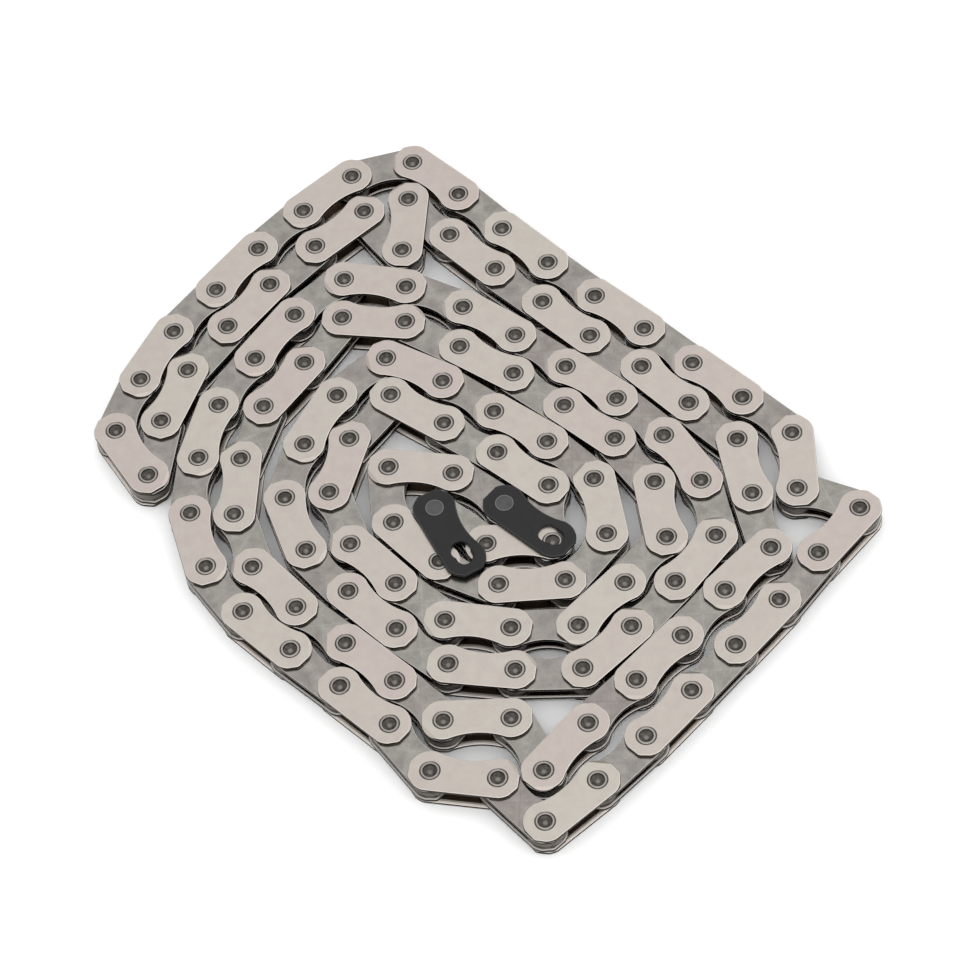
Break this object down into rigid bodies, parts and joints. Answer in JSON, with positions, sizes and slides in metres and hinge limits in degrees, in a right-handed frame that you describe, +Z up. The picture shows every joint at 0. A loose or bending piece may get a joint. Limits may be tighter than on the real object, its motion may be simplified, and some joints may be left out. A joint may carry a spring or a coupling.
{
  "type": "bicycle chain",
  "caption": "Bicycle roller chain with flat-topped plates, folded in half and coiled flat on its side, with an open quick-link half in each free end.",
  "frame": {"origin": "on the floor under the middle of the coil", "axes": "+Z up along the pins, +Y towards the corner opposite the camera, +X to the camera's right"},
  "size_m": [0.1528, 0.1602, 0.0061],
  "materials": {
    "outer_plate": "satin nickel plating with a warm tone and a brighter bevelled rim",
    "inner_plate": "tumbled grey steel, softly mottled",
    "pin": "plain steel with riveted, recessed ends",
    "roller": "dark satin steel, slightly oily",
    "quick_link_plate": "near-black satin coating",
    "quick_link_pin": "dark grey blackened steel"
  },
  "bodies": {
    "root": {"outer_plates_top_a1": "outer_plate", "outer_plates_bottom_a1": "outer_plate", "inner_plates_top_a1": "inner_plate", "inner_plates_bottom_a1": "inner_plate", "pins_a1": "pin", "rollers_a1": "roller", "outer_plates_top_a2": "outer_plate", "outer_plates_bottom_a2": "outer_plate", "inner_plates_top_a2": "inner_plate", "inner_plates_bottom_a2": "inner_plate", "pins_a2": "pin", "rollers_a2": "roller", "outer_plates_top_b1": "outer_plate", "outer_plates_bottom_b1": "outer_plate", "inner_plates_top_b1": "inner_plate", "inner_plates_bottom_b1": "inner_plate", "pins_b1": "pin", "rollers_b1": "roller", "outer_plates_top_b2": "outer_plate", "outer_plates_bottom_b2": "outer_plate", "inner_plates_top_b2": "inner_plate", "inner_plates_bottom_b2": "inner_plate", "pins_b2": "pin", "rollers_b2": "roller"},
    "swing_a1": {"swing_link_a1_plates": "outer_plate", "swing_link_a1_pins": "pin"},
    "swing_a2": {"swing_link_a2_plates": "inner_plate"},
    "swing_link_a2_roller_near": {"swing_link_a2_roller_near": "roller"},
    "swing_link_a2_roller_far": {"swing_link_a2_roller_far": "roller"},
    "swing_a3": {"swing_link_a3_plates": "outer_plate", "swing_link_a3_pins": "pin"},
    "swing_b1": {"swing_link_b1_plates": "outer_plate", "swing_link_b1_pins": "pin"},
    "swing_b2": {"swing_link_b2_plates": "inner_plate"},
    "swing_link_b2_roller_near": {"swing_link_b2_roller_near": "roller"},
    "swing_link_b2_roller_far": {"swing_link_b2_roller_far": "roller"},
    "swing_b3": {"swing_link_b3_plates": "outer_plate", "swing_link_b3_pins": "pin"},
    "fold": {"fold_outer_plates_top": "outer_plate", "fold_outer_plates_bottom": "outer_plate", "fold_inner_plates_top": "inner_plate", "fold_inner_plates_bottom": "inner_plate", "fold_pins": "pin"},
    "fold_roller_1": {"fold_roller_1": "roller"},
    "fold_roller_2": {"fold_roller_2": "roller"},
    "fold_roller_3": {"fold_roller_3": "roller"},
    "fold_roller_4": {"fold_roller_4": "roller"},
    "fold_roller_5": {"fold_roller_5": "roller"},
    "fold_roller_6": {"fold_roller_6": "roller"},
    "fold_roller_7": {"fold_roller_7": "roller"},
    "fold_roller_8": {"fold_roller_8": "roller"},
    "end_roller_a_free": {"end_roller_a_free": "roller"},
    "end_roller_a_pinned": {"end_roller_a_pinned": "roller"},
    "end_roller_b_pinned": {"end_roller_b_pinned": "roller"},
    "end_roller_b_free": {"end_roller_b_free": "roller"},
    "quick_link_a": {"quick_link_a_plate": "quick_link_plate", "quick_link_a_pin": "quick_link_pin"},
    "quick_link_b": {"quick_link_b_plate": "quick_link_plate", "quick_link_b_pin": "quick_link_pin"}
  },
  "joints": [
    {"name": "swing_a1_pivot", "type": "hinge", "parent": "root", "child": "swing_a1", "pos_m": [-0.02663, 0.07298, 0.00265], "axis": [0, 0, -1], "range_deg": [0, 20]},
    {"name": "swing_a2_pivot", "type": "hinge", "parent": "swing_a1", "child": "swing_a2", "pos_m": [-0.03636, 0.06481, 0.00265], "axis": [0, 0, -1], "range_deg": [0, 20]},
    {"name": "swing_a3_pivot", "type": "hinge", "parent": "swing_a2", "child": "swing_a3", "pos_m": [-0.04534, 0.05583, 0.00265], "axis": [0, 0, -1], "range_deg": [0, 20]},
    {"name": "fold_pivot", "type": "hinge", "parent": "swing_a3", "child": "fold", "pos_m": [-0.0535, 0.0461, 0.00265], "axis": [0, 0, -1], "range_deg": [-60, 0]},
    {"name": "swing_b1_pivot", "type": "hinge", "parent": "root", "child": "swing_b1", "pos_m": [-0.02399, 0.06402, 0.00265], "axis": [0, 0, -1], "range_deg": [0, 20]},
    {"name": "swing_b2_pivot", "type": "hinge", "parent": "swing_b1", "child": "swing_b2", "pos_m": [-0.03372, 0.05585, 0.00265], "axis": [0, 0, -1], "range_deg": [0, 20]},
    {"name": "swing_b3_pivot", "type": "hinge", "parent": "swing_b2", "child": "swing_b3", "pos_m": [-0.0427, 0.04687, 0.00265], "axis": [0, 0, -1], "range_deg": [0, 20]},
    {"name": "swing_link_a2_roller_near_spin", "type": "hinge", "parent": "swing_a2", "child": "swing_link_a2_roller_near", "pos_m": [-0.03636, 0.06481, 0.00265], "axis": [0, 0, 1], "continuous": true},
    {"name": "swing_link_a2_roller_far_spin", "type": "hinge", "parent": "swing_a2", "child": "swing_link_a2_roller_far", "pos_m": [-0.04534, 0.05583, 0.00265], "axis": [0, 0, 1], "continuous": true},
    {"name": "swing_link_b2_roller_near_spin", "type": "hinge", "parent": "swing_b2", "child": "swing_link_b2_roller_near", "pos_m": [-0.03372, 0.05585, 0.00265], "axis": [0, 0, 1], "continuous": true},
    {"name": "swing_link_b2_roller_far_spin", "type": "hinge", "parent": "swing_b2", "child": "swing_link_b2_roller_far", "pos_m": [-0.0427, 0.04687, 0.00265], "axis": [0, 0, 1], "continuous": true},
    {"name": "end_roller_a_free_spin", "type": "hinge", "parent": "root", "child": "end_roller_a_free", "pos_m": [0.0043, -0.00746, 0.00265], "axis": [0, 0, 1], "continuous": true},
    {"name": "end_roller_a_pinned_spin", "type": "hinge", "parent": "root", "child": "end_roller_a_pinned", "pos_m": [-0.00571, 0.00036, 0.00265], "axis": [0, 0, 1], "continuous": true},
    {"name": "end_roller_b_pinned_spin", "type": "hinge", "parent": "root", "child": "end_roller_b_pinned", "pos_m": [0.00074, -0.01592, 0.00265], "axis": [0, 0, 1], "continuous": true},
    {"name": "end_roller_b_free_spin", "type": "hinge", "parent": "root", "child": "end_roller_b_free", "pos_m": [-0.00913, -0.00793, 0.00265], "axis": [0, 0, 1], "continuous": true},
    {"name": "fold_roller_1_spin", "type": "hinge", "parent": "fold", "child": "fold_roller_1", "pos_m": [-0.0535, 0.0461, 0.00265], "axis": [0, 0, 1], "continuous": true},
    {"name": "fold_roller_2_spin", "type": "hinge", "parent": "fold", "child": "fold_roller_2", "pos_m": [-0.06166, 0.03637, 0.00265], "axis": [0, 0, 1], "continuous": true},
    {"name": "fold_roller_3_spin", "type": "hinge", "parent": "fold", "child": "fold_roller_3", "pos_m": [-0.06782, 0.02527, 0.00265], "axis": [0, 0, 1], "continuous": true},
    {"name": "fold_roller_4_spin", "type": "hinge", "parent": "fold", "child": "fold_roller_4", "pos_m": [-0.07216, 0.01333, 0.00265], "axis": [0, 0, 1], "continuous": true},
    {"name": "fold_roller_5_spin", "type": "hinge", "parent": "fold", "child": "fold_roller_5", "pos_m": [-0.06525, 0.00268, 0.00265], "axis": [0, 0, 1], "continuous": true},
    {"name": "fold_roller_6_spin", "type": "hinge", "parent": "fold", "child": "fold_roller_6", "pos_m": [-0.06326, 0.01523, 0.00265], "axis": [0, 0, 1], "continuous": true},
    {"name": "fold_roller_7_spin", "type": "hinge", "parent": "fold", "child": "fold_roller_7", "pos_m": [-0.0585, 0.027, 0.00265], "axis": [0, 0, 1], "continuous": true},
    {"name": "fold_roller_8_spin", "type": "hinge", "parent": "fold", "child": "fold_roller_8", "pos_m": [-0.05086, 0.03714, 0.00265], "axis": [0, 0, 1], "continuous": true},
    {"name": "quick_link_a_pivot", "type": "hinge", "parent": "root", "child": "quick_link_a", "pos_m": [0.0043, -0.00746, 0.00265], "axis": [0, 0, 1], "range_deg": [-40, 180]},
    {"name": "quick_link_b_pivot", "type": "hinge", "parent": "root", "child": "quick_link_b", "pos_m": [-0.00913, -0.00793, 0.00265], "axis": [0, 0, 1], "range_deg": [-180, 25]}
  ],
  "couplings": [
    {"joint": "swing_a2_pivot", "follows": "swing_a1_pivot", "ratio": 1},
    {"joint": "swing_a3_pivot", "follows": "swing_a1_pivot", "ratio": 1},
    {"joint": "fold_pivot", "follows": "swing_a1_pivot", "ratio": -3},
    {"joint": "swing_b1_pivot", "follows": "swing_a1_pivot", "ratio": 1},
    {"joint": "swing_b2_pivot", "follows": "swing_a1_pivot", "ratio": 1},
    {"joint": "swing_b3_pivot", "follows": "swing_a1_pivot", "ratio": 1}
  ]
}
